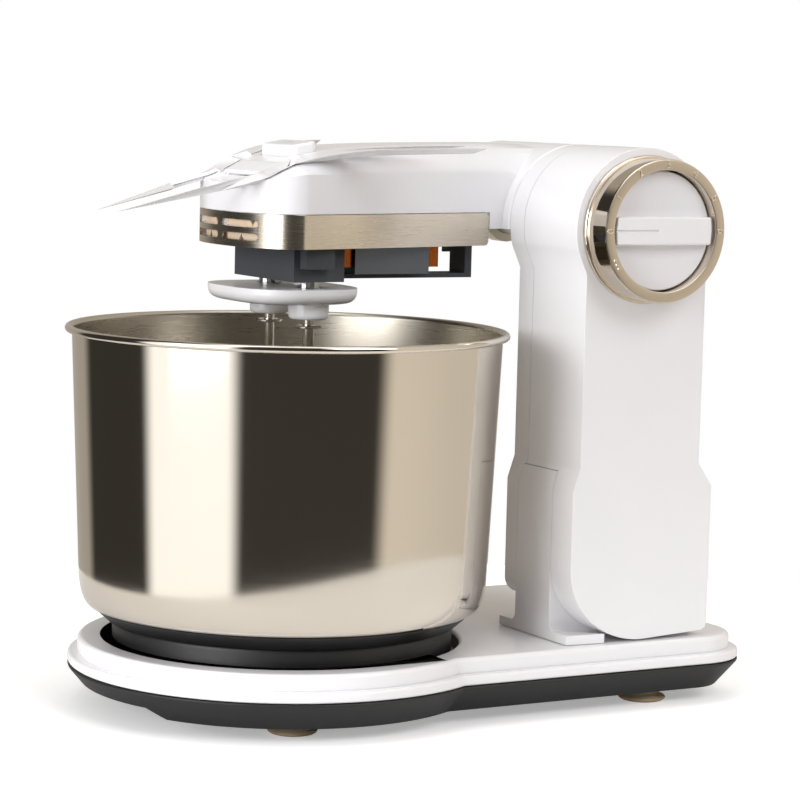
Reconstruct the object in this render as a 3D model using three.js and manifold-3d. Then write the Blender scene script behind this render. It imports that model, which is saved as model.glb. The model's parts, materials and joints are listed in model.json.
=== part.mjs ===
// Tilt-head stand mixer with a turning bowl, millimetres, +Z up.
// The pieces are drawn about the bowl's axis, x towards the column and y away from the dial.
// The last group moves them so that the origin is under the middle of the whole machine.
import * as THREE from "three";
import { mergeVertices } from "three/addons/utils/BufferGeometryUtils.js";
import Module from "manifold-3d";

// ---- General ----
const GAP = 0.3; // clearance between pieces that meet
const WALL = 2.5; // moulded casing wall
const ROUND = 40; // sides of a large round
const SMALL = 16; // sides of a small round

// ---- Bowl and turntable ----
const BEAD = { r: 98, z: 168.9, thick: 1.6 }; // rolled rim, the middle of its wire
const BOWL = { top: 96.5, low: 92.1, floor: 86.9, z: 45.5, corner: 16, sheet: 1.2 };
const FOOT_RING = { r: 85.5, low: 79, inner: 70, depth: 6.5 };
const TABLE = { r: 76.7, low: 24, plate: 4, wall: 4, hub: 10 };
const PIVOT_R = 4; // steel pin that the turntable runs on
const BEARING = { inner: 34, outer: 42 };

// ---- Base ----
const BASE = { round: 96.5, half: 84, rear: 207, corner: 28 };
const SHELL = { low: 6, seam: 19, slant: 10 };
const NOTCH = { rear: -60, half: 40, high: 11 }; // cut-away under the front, a finger hold
const COVER = { flange: 4.5, step: 4.3, top: 30.7, recess: 79.9, floor: 22.5 };
const FOOT = { r: 11, front: -25, rear: 157, side: 60 };

// ---- Pedestal ----
const POST = { near: -58, far: -29, top: 108, wall: 4 };
const FLANGE = { toe: 125.5, near: -73, far: -15.5, thick: 4.2 };

// ---- Column ----
const HINGE = { x: 140, z: 218, r: 36.5 };
const COLUMN = { front: 109.5, rear: 174, near: -75, seam: -31, far: -18 };
const SKIRT = { front: 106, rear: 181.4, low: 100.5, high: 111, bottom: COVER.top + 0.8 };
const TOE = { across: 39, up: 34 }; // the long rounding under the column's front
const FAR_SIDE = { lift: 15, toe: 8 }; // the far shell ends higher, with a small rounding
const AXLE_R = 8;
const FRAME = { front: 124, rear: 156, near: -48, far: -38 };

// ---- Dial ----
const RING = { outer: 32, inner: 27, flange: 33.2, depth: 16 };
const KNOB = { r: 26.6, dish: 3.6, bar: 12, face: 13 };

// ---- Head ----
const WORM = { z: HINGE.z - 1, r: 6.4, root: 4.4 };
const BEATER = {
  gap: 38, r: 23, low: BOWL.z + 9.5, high: HINGE.z - 90, shaft: 2.5, wire: 2.4, tip: HINGE.z - 21,
};
const WHEEL = { teeth: 20, thick: 8, tip: BEATER.gap / 2 - WORM.r - GAP };
const HOUSING_HALF = BEATER.gap / 2 + WHEEL.tip + 3.9;
const HEAD = { nose: -35.2, cheek: -13.5, half: HOUSING_HALF + 7.8, neckNear: -12, neckFar: 50 };
const LEVEL = {
  bottom: HINGE.z - 28.3, seam: HINGE.z - 3, shoulder: HINGE.z + 22, top: HINGE.z + 36,
};
const DRUM = { near: -17.6, far: 57 };
const BAND = { half: 7.5, depth: 0.8, rear: 95 };
const VENT = { inner: 2, outer: 29, pitch: 5.7, tall: 3 };
const CHIN = { bottom: LEVEL.bottom - 7.2, half: HEAD.half - 7, rear: 26 };
const SOCKET = { r: 9, bottom: LEVEL.bottom - 14.2 };
const COLLAR = { r: 6, drop: 2.7, thick: 1.3 }; // stops each beater under its socket
const MOTOR = { front: 24, rear: 62, half: 17, tall: 22 };
const EJECT = {
  x: -1.9, wide: 12.5, long: 32, low: HINGE.z + 20.5, top: HINGE.z + 36.2, fall: 2.2, travel: 3,
};

// ---- Tools ----
const wasm = await Module();
wasm.setup();
const { PI, cos, sin, sqrt, atan2 } = Math;
const group = new THREE.Group();

function solidOf(geometry) {
  const bare = geometry.index ? geometry.toNonIndexed() : geometry.clone();
  bare.deleteAttribute("normal");
  bare.deleteAttribute("uv");
  const merged = mergeVertices(bare, 1e-4);
  const triVerts = new Uint32Array(merged.index.array);
  const vertProperties = merged.attributes.position.array;
  const made = new wasm.Manifold(new wasm.Mesh({ numProp: 3, vertProperties, triVerts }));
  if (made.volume() > 0) return made;
  for (let i = 0; i < triVerts.length; i += 3) {
    [triVerts[i + 1], triVerts[i + 2]] = [triVerts[i + 2], triVerts[i + 1]];
  }
  return new wasm.Manifold(new wasm.Mesh({ numProp: 3, vertProperties, triVerts }));
}

function geometryOf(solid) {
  const mesh = solid.getMesh();
  const geometry = new THREE.BufferGeometry();
  geometry.setAttribute("position", new THREE.BufferAttribute(mesh.vertProperties, 3));
  geometry.setIndex(new THREE.BufferAttribute(mesh.triVerts, 1));
  geometry.computeVertexNormals();
  return geometry;
}

const join = (...shapes) => geometryOf(shapes.map(solidOf).reduce((a, b) => a.add(b)));
const cut = (from, ...tools) => {
  return geometryOf(tools.map(solidOf).reduce((a, b) => a.subtract(b), solidOf(from)));
};
const common = (a, b) => geometryOf(solidOf(a).intersect(solidOf(b)));

function box(x0, x1, y0, y1, z0, z1) {
  const made = new THREE.BoxGeometry(x1 - x0, y1 - y0, z1 - z0);
  return made.translate((x0 + x1) / 2, (y0 + y1) / 2, (z0 + z1) / 2);
}

// Round rods along each axis, and a body turned about an upright axis.
function rodZ(r, z0, z1, x = 0, y = 0, sides = SMALL) {
  const made = new THREE.CylinderGeometry(r, r, z1 - z0, sides);
  return made.rotateX(PI / 2).translate(x, y, (z0 + z1) / 2);
}

function rodY(r, y0, y1, x, z, sides = SMALL) {
  return new THREE.CylinderGeometry(r, r, y1 - y0, sides).translate(x, (y0 + y1) / 2, z);
}

function rodX(r, x0, x1, y, z, sides = SMALL) {
  const made = new THREE.CylinderGeometry(r, r, x1 - x0, sides);
  return made.rotateZ(PI / 2).translate((x0 + x1) / 2, y, z);
}

function turned(profile, x = 0, y = 0, sides = ROUND) {
  const points = profile.map(([r, z]) => new THREE.Vector2(r, z));
  return new THREE.LatheGeometry(points, sides).rotateX(PI / 2).translate(x, y, 0);
}

// A tube of revolution: its closed profile goes round the wall.
function sleeve(inner, outer, z0, z1, x = 0, y = 0, sides = ROUND) {
  return turned([[inner, z0], [outer, z0], [outer, z1], [inner, z1], [inner, z0]], x, y, sides);
}

function shapeOf(points) {
  return new THREE.Shape(points.map(([x, y]) => new THREE.Vector2(x, y)));
}

// A flat outline in x and z, drawn through from y0 to y1.
function slabY(points, y0, y1) {
  const made = new THREE.ExtrudeGeometry(shapeOf(points), { depth: y1 - y0, bevelEnabled: false });
  return made.rotateX(PI / 2).translate(0, y1, 0);
}

function slabZ(points, z0, z1) {
  const made = new THREE.ExtrudeGeometry(shapeOf(points), { depth: z1 - z0, bevelEnabled: false });
  return made.translate(0, 0, z0);
}

// Outlines of equal point count, one above the other, skinned into a closed body.
function skinned(layers) {
  const count = layers[0].points.length;
  const places = layers.flatMap(({ points, z }) => points.flatMap(([x, y]) => [x, y, z]));
  const faces = [];
  for (let level = 0; level + 1 < layers.length; level += 1) {
    for (let i = 0; i < count; i += 1) {
      const next = (i + 1) % count;
      const [a, b] = [level * count + i, level * count + next];
      const [c, d] = [b + count, a + count];
      faces.push(a, b, c, a, c, d);
    }
  }
  const capOf = ({ points }) => {
    return THREE.ShapeUtils.triangulateShape(points.map(([x, y]) => new THREE.Vector2(x, y)), []);
  };
  const last = (layers.length - 1) * count;
  for (const [a, b, c] of capOf(layers[0])) faces.push(a, c, b);
  for (const [a, b, c] of capOf(layers.at(-1))) faces.push(last + a, last + b, last + c);
  const geometry = new THREE.BufferGeometry();
  geometry.setAttribute("position", new THREE.Float32BufferAttribute(places, 3));
  geometry.setIndex(faces);
  return geometry;
}

function arc(cx, cy, r, from, to, steps) {
  return Array.from({ length: steps + 1 }, (_, i) => {
    const turn = from + ((to - from) * i) / steps;
    return [cx + r * cos(turn), cy + r * sin(turn)];
  });
}

// A bar of section r swept along a smooth line.
function swept(curve, steps, r, sides = 6) {
  const section = shapeOf(arc(0, 0, r, 0, 2 * PI * (1 - 1 / sides), sides - 1));
  return new THREE.ExtrudeGeometry(section, { steps, extrudePath: curve, bevelEnabled: false });
}

const finish = (color, roughness, metalness) => ({ color, roughness, metalness });
const WHITE = finish(0xe9e8ea, 0.25, 0);
const BLACK = finish(0x17181a, 0.45, 0);
const INNER = finish(0x3a3d42, 0.6, 0);
const STEEL = finish(0xb8b4ac, 0.2, 1);
const BRUSHED = finish(0xb9b1a6, 0.4, 1);
const CHROME = finish(0xd9cfc0, 0.08, 1);
const RUBBER = finish(0xa79a84, 0.8, 0);
const COPPER = finish(0xb87333, 0.4, 1);
const NYLON = finish(0xe8e2cf, 0.5, 0);
const ALLOY = finish(0x9a9da1, 0.45, 1);

function add(name, geometry, looks) {
  const mesh = new THREE.Mesh(geometry, new THREE.MeshStandardMaterial(looks));
  mesh.name = name;
  group.add(mesh);
}

// ---- Base ----
// The round part is under the bowl and the straight part runs back under the column.
function basePlan(inset) {
  const [r, half, rear, corner] = [
    BASE.round - inset, BASE.half - inset, BASE.rear - inset, BASE.corner - inset,
  ];
  const meet = atan2(half, sqrt(r * r - half * half));
  return [
    ...arc(rear - corner, corner - half, corner, -PI / 2, 0, 6),
    ...arc(rear - corner, half - corner, corner, 0, PI / 2, 6),
    ...arc(0, 0, r, meet, 2 * PI - meet, 36),
  ];
}

function baseShell() {
  const { low, seam, slant } = SHELL;
  const top = seam - GAP;
  const outer = skinned([
    { points: basePlan(slant), z: low },
    { points: basePlan(0), z: top },
  ]);
  const hollow = skinned([
    { points: basePlan(slant + WALL), z: low + WALL },
    { points: basePlan(WALL), z: top + 1 },
  ]);
  const boss = rodZ(PIVOT_R + 5, low + 1, low + 6);
  const { rear, half, high } = NOTCH;
  const lifted = box(-BASE.round, rear + WALL, -half - WALL, half + WALL, low, high + WALL);
  const roof = common(lifted, skinned([
    { points: basePlan(slant), z: low }, { points: basePlan(0), z: top },
  ]));
  const notch = box(-BASE.round - 1, rear, -half, half, low - 1, high);
  return cut(join(cut(outer, hollow), boss, roof), notch);
}

function baseCover() {
  const { flange, step, top, recess, floor } = COVER;
  const rib = SHELL.seam + flange;
  const edge = 2.5; // rounding along the deck's edge
  const outer = join(
    slabZ(basePlan(0), SHELL.seam, rib),
    skinned([
      { points: basePlan(step), z: rib - 0.5 },
      { points: basePlan(step), z: top - edge },
      { points: basePlan(step + edge * 0.3), z: top - edge * 0.3 },
      { points: basePlan(step + edge), z: top },
    ]),
  );
  const hollow = slabZ(basePlan(step + WALL), SHELL.seam - 1, top - WALL);
  const well = rodZ(recess + WALL, floor - WALL, top - 1, 0, 0, ROUND);
  const recessCut = rodZ(recess, floor, top + 1, 0, 0, ROUND);
  const pinHole = rodZ(PIVOT_R + 2, floor - WALL - 1, floor + 1);
  return cut(join(cut(outer, hollow), well), recessCut, pinHole);
}

function baseFoot(x, y) {
  const { r } = FOOT;
  const top = SHELL.low - GAP;
  return turned([[0, 0], [r - 1, 0], [r, 1.2], [r - 3, 3.2], [r - 4, top], [0, top]], x, y, SMALL);
}

// A screw beside each foot reaches from the shell's floor to the underside of the cover.
function baseScrew(x, y, ceiling) {
  const floor = SHELL.low + WALL + GAP;
  const tip = ceiling - WALL - GAP;
  const profile = [[0, floor], [3.2, floor], [3.2, floor + 2], [1.5, floor + 2], [1.5, tip], [0, tip]];
  return turned(profile, x, y, 10);
}

// ---- Bowl and turntable ----
function bowl() {
  const { top, low, floor, z, corner, sheet } = BOWL;
  const bead = arc(BEAD.r, BEAD.z, BEAD.thick, -2.6, 2.6, 6);
  const round = (shrink, steps) => Array.from({ length: steps + 1 }, (_, i) => {
    const turn = (PI / 2) * (i / steps);
    return [floor - shrink + (low - floor) * sin(turn), z + shrink + (corner - shrink) * (1 - cos(turn))];
  });
  return turned([
    [0, z], ...round(0, 4), [top, BEAD.z - BEAD.thick / 2], ...bead,
    [top - sheet, BEAD.z + 0.4], ...round(sheet, 4).reverse(), [0, z + sheet],
  ]);
}

function bowlFootRing() {
  const top = BOWL.z - GAP;
  const { r, low, inner, depth } = FOOT_RING;
  return turned([[inner, top - depth], [low, top - depth], [low + 4.2, top - depth / 2], [r, top],
    [inner, top], [inner, top - depth]]);
}

function turntable() {
  const { r, low, plate, wall, hub } = TABLE;
  const high = BOWL.z - FOOT_RING.depth - 2 * GAP;
  const bore = PIVOT_R + GAP;
  return turned([[bore, low], [r - 2, low], [r, low + 2], [r, high], [r - wall - 8, high],
    [r - wall - 8, low + plate + 4], [hub, low + plate + 4], [hub, high - 4], [bore, high - 4],
    [bore, low]]);
}

// ---- Column ----
// The side outline: a round head about the hinge, flat sides, a wider skirt and a rounded toe.
function columnOutline(inset, lift, rounding = TOE) {
  const { x, z, r } = HINGE;
  const [front, rear] = [COLUMN.front + inset, COLUMN.rear - inset];
  const [skirtFront, skirtRear] = [SKIRT.front + inset, SKIRT.rear - inset];
  const flare = SKIRT.low - inset * 0.4;
  const bottom = SKIRT.bottom + lift + inset;
  const toe = Array.from({ length: 7 }, (_, i) => {
    const turn = (PI / 2) * (i / 6);
    const [across, up] = [rounding.across - inset, rounding.up - inset];
    return [skirtFront + across * (1 - cos(turn)), bottom + up * (1 - sin(turn))];
  });
  return [
    ...arc(x, z, r - inset, -0.36, PI + 0.28, 20), [front, z - 0.55 * r], [front, SKIRT.high],
    [skirtFront, flare], ...toe, [skirtRear - 3, bottom + 2], [skirtRear, bottom + 5],
    [skirtRear, flare], [rear, SKIRT.high], [rear, z - 0.5 * r],
  ].reverse();
}

// ---- Pedestal ----
// A fixed post between the two shells, flush with them, on a flange that rests on the deck.
function pedestal() {
  const deck = COVER.top + GAP;
  const { near, far, top, wall } = POST;
  const [front, rear] = [SKIRT.front, SKIRT.rear];
  const slab = (inset, y0, y1) => {
    const side = [[COLUMN.front + inset, top + 5], [COLUMN.front + inset, SKIRT.high],
      [front + inset, SKIRT.low], [front + inset, 0], [rear - inset, 0], [rear - inset, SKIRT.low],
      [COLUMN.rear - inset, SKIRT.high], [COLUMN.rear - inset, top + 5]];
    return slabY(side, y0, y1);
  };
  const post = common(slab(0, near, far), box(0, 300, near, far, deck, top));
  const shelf = slabZ([[front, FLANGE.near], [FLANGE.toe, FLANGE.near - 1.5], [FLANGE.toe, near],
    [rear, near], [rear, FLANGE.far], [front, FLANGE.far]], deck, deck + FLANGE.thick);
  const hollow = common(slab(wall, near + wall, far - wall), box(0, 300, -100, 0, deck - 1, top - wall));
  return cut(join(post, shelf), hollow);
}

function postRoom() {
  const { near, far, top } = POST;
  return box(0, 300, near - GAP, far + GAP, 0, top + GAP);
}

function axleRoom(extra) {
  return rodY(AXLE_R + extra, -100, 100, HINGE.x, HINGE.z, 24);
}

function columnNearShell() {
  const { near, seam } = COLUMN;
  const outer = slabY(columnOutline(0, 0), near, seam - GAP / 2);
  const hollow = slabY(columnOutline(WALL, 0), near + WALL, seam + 1);
  const knobHole = rodY(6, near - 1, near + WALL + 1, HINGE.x, HINGE.z);
  return cut(outer, hollow, postRoom(), knobHole);
}

function columnFarShell() {
  const { seam, far } = COLUMN;
  const { lift, toe } = FAR_SIDE;
  const rounding = { across: toe, up: toe };
  const outer = slabY(columnOutline(0, lift, rounding), seam + GAP / 2, far);
  const hollow = slabY(columnOutline(WALL, lift, rounding), seam - 1, far - WALL);
  return cut(outer, hollow, postRoom(), axleRoom(GAP));
}

function columnFrame() {
  const { front, rear, near, far } = FRAME;
  const foot = POST.top + GAP;
  const web = join(
    box(front, rear, near, far, foot, HINGE.z + 14),
    box(front - 8, rear + 10, near - 6, far + 8, foot, foot + 5),
  );
  return cut(web, axleRoom(GAP / 3));
}

function columnScrew(x) {
  const foot = POST.top + GAP + 5 + GAP;
  return turned([[0, foot], [3.5, foot], [3.5, foot + 2.6], [0, foot + 2.6]], x, FRAME.far + 4, 10);
}

// ---- Speed dial ----
function dialRing() {
  const { outer, inner, flange, depth } = RING;
  const face = COLUMN.near - GAP;
  const profile = [[inner, 0], [flange, 0], [flange, 1.6], [outer, 2.2], [outer, depth - 1.5],
    [outer - 1.5, depth], [inner + 0.8, depth], [inner, depth - 0.8], [inner, 0]];
  const made = turned(profile);
  return made.rotateX(PI / 2).translate(HINGE.x, face, HINGE.z);
}

function speedKnob() {
  const back = COLUMN.near - GAP - 1;
  const { r, dish, bar, face } = KNOB;
  const disc = turned([[0, 0], [r, 0], [r, face - dish + 0.3], [r - 0.8, face - dish + 1],
    [r / 2, face - dish - 0.4], [0, face - dish - 0.8]]);
  const placed = disc.rotateX(PI / 2).translate(HINGE.x, back, HINGE.z);
  const low = back - face - 1.5;
  const { x, z } = HINGE;
  const grip = box(x - r + 1.5, x + r - 1.5, low, back - 2, z - bar / 2, z + bar / 2);
  const groove = box(x - r, x - 4, low - 1, low + 1, z - 0.8, z + 0.8);
  return cut(join(placed, grip), groove);
}

function knobShaft() {
  return rodY(4, COLUMN.near - GAP - 0.7, FRAME.near - 9, HINGE.x, HINGE.z);
}

function rotarySwitch() {
  const [front, rear] = [COLUMN.near + WALL + GAP, FRAME.near - 10];
  const body = box(HINGE.x - 16, HINGE.x + 16, front, rear, HINGE.z - 16, HINGE.z + 16);
  return cut(body, rodY(4 + GAP, front - 1, rear + 1, HINGE.x, HINGE.z));
}

// ---- Head ----
// The side by the dial slants in to clear the column, and the other side stays nearly straight.
function headPlan(inset) {
  const { nose, cheek, half, neckNear, neckFar } = HEAD;
  const rear = HINGE.x - HINGE.r;
  const roundNose = Array.from({ length: 17 }, (_, i) => {
    const turn = PI / 2 + (PI * i) / 16;
    const [c, s] = [cos(turn), sin(turn)];
    const blunt = 0.85;
    const across = Math.sign(s) * Math.abs(s) ** blunt * (half - inset);
    return [cheek - Math.abs(c) ** blunt * (cheek - nose - inset), across];
  });
  return [...roundNose, [rear, neckNear + inset], [HINGE.x, neckNear + inset],
    [HINGE.x, neckFar - inset], [rear, neckFar - inset]];
}

// The top falls away in front of the eject button.
function headSide(inset) {
  const top = LEVEL.top - inset;
  const nose = HEAD.nose - 10;
  return [
    [nose, LEVEL.bottom + inset], [HINGE.x, LEVEL.bottom + inset], [HINGE.x, top],
    [96, top - 0.6], [50, top - 1.8], [16, top - 3.2], [-6, top - 7], [-24, top - 14.5], [nose, top - 20],
  ];
}

function headBody(inset) {
  const { bottom, shoulder, top } = LEVEL;
  const low = bottom + inset;
  const layers = [
    { points: headPlan(inset + 5), z: low },
    { points: headPlan(inset + 1.4), z: low + 1.6 },
    { points: headPlan(inset), z: low + 6 },
    { points: headPlan(inset), z: shoulder - inset },
    { points: headPlan(inset + 2), z: shoulder + 5 - inset },
    { points: headPlan(inset + 8), z: top - 2 - inset },
    { points: headPlan(inset + 11), z: top + 1 - inset },
  ];
  const body = common(skinned(layers), slabY(headSide(inset), -60, 60));
  const { near, far } = DRUM;
  const side = HINGE.r - inset;
  const drumProfile = [[0, near + inset], [side, near + inset], [side, far - 8],
    [side - 2.4, far - 2.4 - inset * 0.5], [HINGE.r - 8 - inset * 0.3, far - inset], [0, far - inset]];
  const drum = turned(drumProfile).rotateX(-PI / 2).rotateY(PI).translate(HINGE.x, 0, HINGE.z);
  return join(body, drum);
}

function bandRoom(grow) {
  const { half, depth, rear } = BAND;
  const [low, high] = [LEVEL.seam - half - grow, LEVEL.seam + half + grow];
  const ring = cut(slabZ(headPlan(-3), low, high), slabZ(headPlan(depth + grow), low - 1, high + 1));
  return common(ring, box(-80, rear + grow, -80, 80, low - 1, high + 1));
}

// Four long slots with round ends, two on each side of the nose.
function ventSlots() {
  const { inner, outer, pitch, tall } = VENT;
  const [front, rear] = [HEAD.nose - 5, HEAD.cheek + 6];
  const middle = (inner + outer) / 2;
  const reach = (outer - inner - tall) / 2;
  return [-pitch / 2, pitch / 2].flatMap((row) => [-middle, middle].map((y) => {
    const z = LEVEL.seam + row;
    return join(
      box(front, rear, y - reach, y + reach, z - tall / 2, z + tall / 2),
      rodX(tall / 2, front, rear, y - reach, z, 12), rodX(tall / 2, front, rear, y + reach, z, 12),
    );
  }));
}

function headShell(part) {
  const wall = cut(headBody(0), headBody(WALL));
  const bushBoss = rodY(AXLE_R + 8, DRUM.far - 14, DRUM.far - 1, HINGE.x, HINGE.z);
  const whole = cut(
    join(wall, bushBoss), bandRoom(GAP), ...ventSlots(),
    rodY(AXLE_R + 4 + GAP, DRUM.near - 1, DRUM.far - 4, HINGE.x, HINGE.z),
  );
  const seam = LEVEL.seam;
  if (part === "upper") {
    const [across, along] = [EJECT.wide / 2 + GAP, EJECT.long / 2 + GAP];
    const [floor, sky] = [LEVEL.shoulder - 8, LEVEL.top + 9];
    const button = box(EJECT.x - across, EJECT.x + across, -along, along, floor, sky);
    return cut(common(whole, box(-90, 250, -90, 90, seam + GAP / 2, 280)), button);
  }
  const spindles = spindlePlaces().map((y) => rodZ(7, LEVEL.bottom - 2, LEVEL.bottom + 9, 0, y));
  return cut(common(whole, box(-90, 250, -90, 90, 170, seam - GAP / 2)), ...spindles);
}

const spindlePlaces = () => [-BEATER.gap / 2, BEATER.gap / 2];

function trimBand() {
  const { half, depth, rear } = BAND;
  const [low, high] = [LEVEL.seam - half, LEVEL.seam + half];
  const outer = slabZ(headPlan(0.1), low, high);
  const ring = cut(outer, slabZ(headPlan(depth), low - 1, high + 1));
  const wrap = common(ring, box(-80, rear, -80, 80, low - 1, high + 1));
  return cut(wrap, ...ventSlots());
}

function chinCap() {
  const { bottom, half, rear } = CHIN;
  const top = LEVEL.bottom - GAP;
  const plan = (inset) => {
    const front = HEAD.nose + 2;
    const middle = (front + rear) / 2;
    return Array.from({ length: 28 }, (_, i) => {
      const turn = (2 * PI * i) / 28;
      const [c, s] = [cos(turn), sin(turn)];
      const square = (v, reach) => Math.sign(v) * Math.abs(v) ** 0.7 * (reach - inset);
      return [middle + square(c, rear - middle), square(s, half)];
    });
  };
  const cap = skinned([
    { points: plan(7), z: bottom }, { points: plan(5), z: bottom + 1.5 }, { points: plan(2.5), z: top },
  ]);
  const { r } = SOCKET;
  const bosses = spindlePlaces().map((y) => {
    const low = SOCKET.bottom;
    const profile = [[0, low], [r - 2, low], [r - 0.6, low + 0.8], [r, low + 3], [r, bottom + 2],
      [0, bottom + 2]];
    return turned(profile, 0, y, SMALL);
  });
  const bores = spindlePlaces().map((y) => rodZ(SPINDLE_R + GAP, SOCKET.bottom - 1, top + 1, 0, y));
  return cut(join(cap, ...bosses), ...bores);
}

// ---- Drive ----
const SPINDLE_R = 5;
const SLAB = { low: LEVEL.bottom + WALL + GAP, high: WORM.z - 6.7, roof: WORM.z + 9.5 };

function wheelPlan() {
  const { tip } = WHEEL;
  const root = tip - 1.8;
  const pitch = (2 * PI) / WHEEL.teeth;
  return Array.from({ length: WHEEL.teeth }, (_, i) => {
    const middle = i * pitch;
    return [[root, -0.42], [tip, -0.18], [tip, 0.18], [root, 0.42]].map(([r, share]) => {
      return [r * cos(middle + share * pitch), r * sin(middle + share * pitch)];
    });
  }).flat();
}

function wormWheel(y) {
  const [low, high] = [WORM.z - WHEEL.thick / 2, WORM.z + WHEEL.thick / 2];
  const wheel = slabZ(wheelPlan(), low, high).translate(0, y, 0);
  return cut(wheel, rodZ(SPINDLE_R + GAP, low - 1, high + 1, 0, y));
}

function spindle(y) {
  const low = SOCKET.bottom + 1;
  const bore = BEATER.shaft + GAP;
  return turned([[bore, low], [SPINDLE_R, low], [SPINDLE_R, SLAB.roof + 4], [0, SLAB.roof + 4],
    [0, BEATER.tip + 4], [bore, BEATER.tip + 4], [bore, low]], 0, y, SMALL);
}

function gearHousing() {
  const { low, high, roof } = SLAB;
  const [front, rear, reach] = [-10, 4, HOUSING_HALF];
  const foot = reach - WALL - 3.5;
  const frame = join(
    box(front - 3, rear + 8, -foot, foot, low, high),
    box(front, rear, -reach, reach, low + 6, high), box(front, rear, -reach, reach, roof, roof + 2.5),
    box(front, rear, -reach, 3 - reach, high - 1, roof + 1),
    box(front, rear, reach - 3, reach, high - 1, roof + 1),
  );
  const bores = spindlePlaces().map((y) => rodZ(SPINDLE_R + GAP, low - 1, roof + 4, 0, y));
  return cut(frame, ...bores);
}

// Each beater is two wire loops crossing under a steel shaft.
function beater(y, phase) {
  const { r, low, high, shaft, wire, tip } = BEATER;
  const middle = r - wire / 2;
  const loop = (turn) => {
    const outline = [
      [0.6, high], [0.45 * middle, high - 5], [0.86 * middle, high - 20], [middle, high - 38],
      [0.93 * middle, low + 12], [0.55 * middle, low + 2.5], [0, low + wire / 2],
    ];
    const mirror = outline.slice(0, -1).reverse().map(([x, z]) => [-x, z]);
    const points = [...outline, ...mirror].map(([x, z]) => {
      return new THREE.Vector3(x * cos(turn), x * sin(turn), z);
    });
    return swept(new THREE.CatmullRomCurve3(points), 20, wire / 2, 5);
  };
  const rod = turned([[0, high - 3], [4, high - 3], [4, high + 3], [shaft, high + 5], [shaft, tip],
    [0, tip]], 0, 0, 12);
  const { r: wide, drop, thick } = COLLAR;
  const under = SOCKET.bottom - drop - thick;
  const disc = [[0, under], [wide, under], [wide, under + thick], [0, under + thick]];
  const collar = turned(disc, 0, 0, SMALL);
  const made = join(loop(phase), loop(phase + PI / 2), rod, collar);
  return made.translate(0, y, 0);
}

function motorStator() {
  const { front, rear, half, tall } = MOTOR;
  const { z } = WORM;
  return cut(box(front, rear, -half, half, z - tall, z + tall), rodX(13, front - 1, rear + 1, 0, z, 24));
}

function motorCoil(side) {
  const { front, half, tall } = MOTOR;
  const from = side === "front" ? front - 6 : MOTOR.rear + GAP;
  const to = side === "front" ? front - GAP : MOTOR.rear + 6;
  const { z } = WORM;
  const winding = box(from, to, -half + 2, half - 2, z - tall + 3, z + tall - 3);
  return cut(winding, rodX(12.5, from - 1, to + 1, 0, z, 24));
}

function motorShaft() {
  const { z, root } = WORM;
  return rodX(root - 1.9, -17, MOTOR.rear + 30, 0, z, 10);
}

// The worm's thread is drawn as rings inside its outer radius, clear of the wheels.
function worm() {
  const { z, r, root } = WORM;
  const rings = [-7.5, -2.5, 2.5, 7.5].map((x) => rodX(r, x - 1, x + 1, 0, z, 12));
  return cut(join(rodX(root, -11, 11, 0, z, 12), ...rings), rodX(root - 1.9 + GAP, -12, 12, 0, z, 10));
}

function motorRotor() {
  const { front, rear } = MOTOR;
  const armature = rodX(12, front + 2, rear - 2, 0, WORM.z, 24);
  const core = join(armature, rodX(8, rear - 3, rear + 12, 0, WORM.z, 20));
  return cut(core, rodX(WORM.root - 1.9 + GAP, front, rear + 13, 0, WORM.z, 10));
}

function motorFan() {
  const [from, to] = [MOTOR.rear + 16, MOTOR.rear + 22];
  const { z } = WORM;
  const hub = rodX(6, from, to, 0, z, 16);
  const blades = Array.from({ length: 8 }, (_, i) => {
    return box(from + 1, to - 1, 4, 13, -0.8, 0.8).rotateX((i * PI) / 4).translate(0, 0, z);
  });
  return cut(join(hub, ...blades), rodX(WORM.root - 1.9 + GAP, from - 1, to + 1, 0, z, 10));
}

function motorCradle() {
  const { front, rear, tall } = MOTOR;
  const low = LEVEL.bottom + WALL + GAP;
  const half = 7;
  const bearing = (x) => {
    const block = box(x, x + 3.5, -half, half, low, WORM.z + 7);
    return cut(block, rodX(WORM.root - 1.9 + GAP, x - 1, x + 5, 0, WORM.z, 10));
  };
  const tray = box(13, rear + 28, -half, half, low, low + 2);
  const saddle = box(front + 4, rear - 4, -half, half, low, WORM.z - tall - GAP);
  return join(tray, bearing(13), bearing(rear + 25), saddle);
}

function carbonBrush(side) {
  const from = side * (8 + GAP);
  const to = side * 14;
  const x = MOTOR.rear + 9;
  return box(x - 2.5, x + 2.5, Math.min(from, to), Math.max(from, to), WORM.z - 3, WORM.z + 3);
}

// ---- Beater release ----
// A long key across the head, its top falling towards the nose.
function ejectButton() {
  const { x, wide, long, low, top, fall } = EJECT;
  const edge = 1.2;
  const side = [[x - wide / 2, low], [x + wide / 2, low], [x + wide / 2, top - edge],
    [x + wide / 2 - edge, top], [x - wide / 2 + edge, top - fall], [x - wide / 2, top - fall - edge]];
  return slabY(side, -long / 2, long / 2);
}

function ejectPlate() {
  const low = SLAB.roof + 4 + GAP + EJECT.travel;
  const reach = BEATER.gap / 2 + 5;
  return join(box(-4, 4, -reach, reach, low, low + 1.6), rodZ(2.5, low, EJECT.low - GAP, 0, 0, 10));
}

function ejectSpring() {
  const low = SLAB.roof + 2.5 + GAP;
  const high = SLAB.roof + 4 + EJECT.travel;
  const [turns, steps, wire] = [3, 10, 0.4];
  const path = new THREE.CatmullRomCurve3(Array.from({ length: turns * steps + 1 }, (_, i) => {
    const turn = (2 * PI * i) / steps;
    const z = low + wire + ((high - low - 2 * wire) * i) / (turns * steps);
    return new THREE.Vector3(4 * cos(turn), 4 * sin(turn), z);
  }));
  return swept(path, turns * steps, wire, 4);
}

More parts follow.
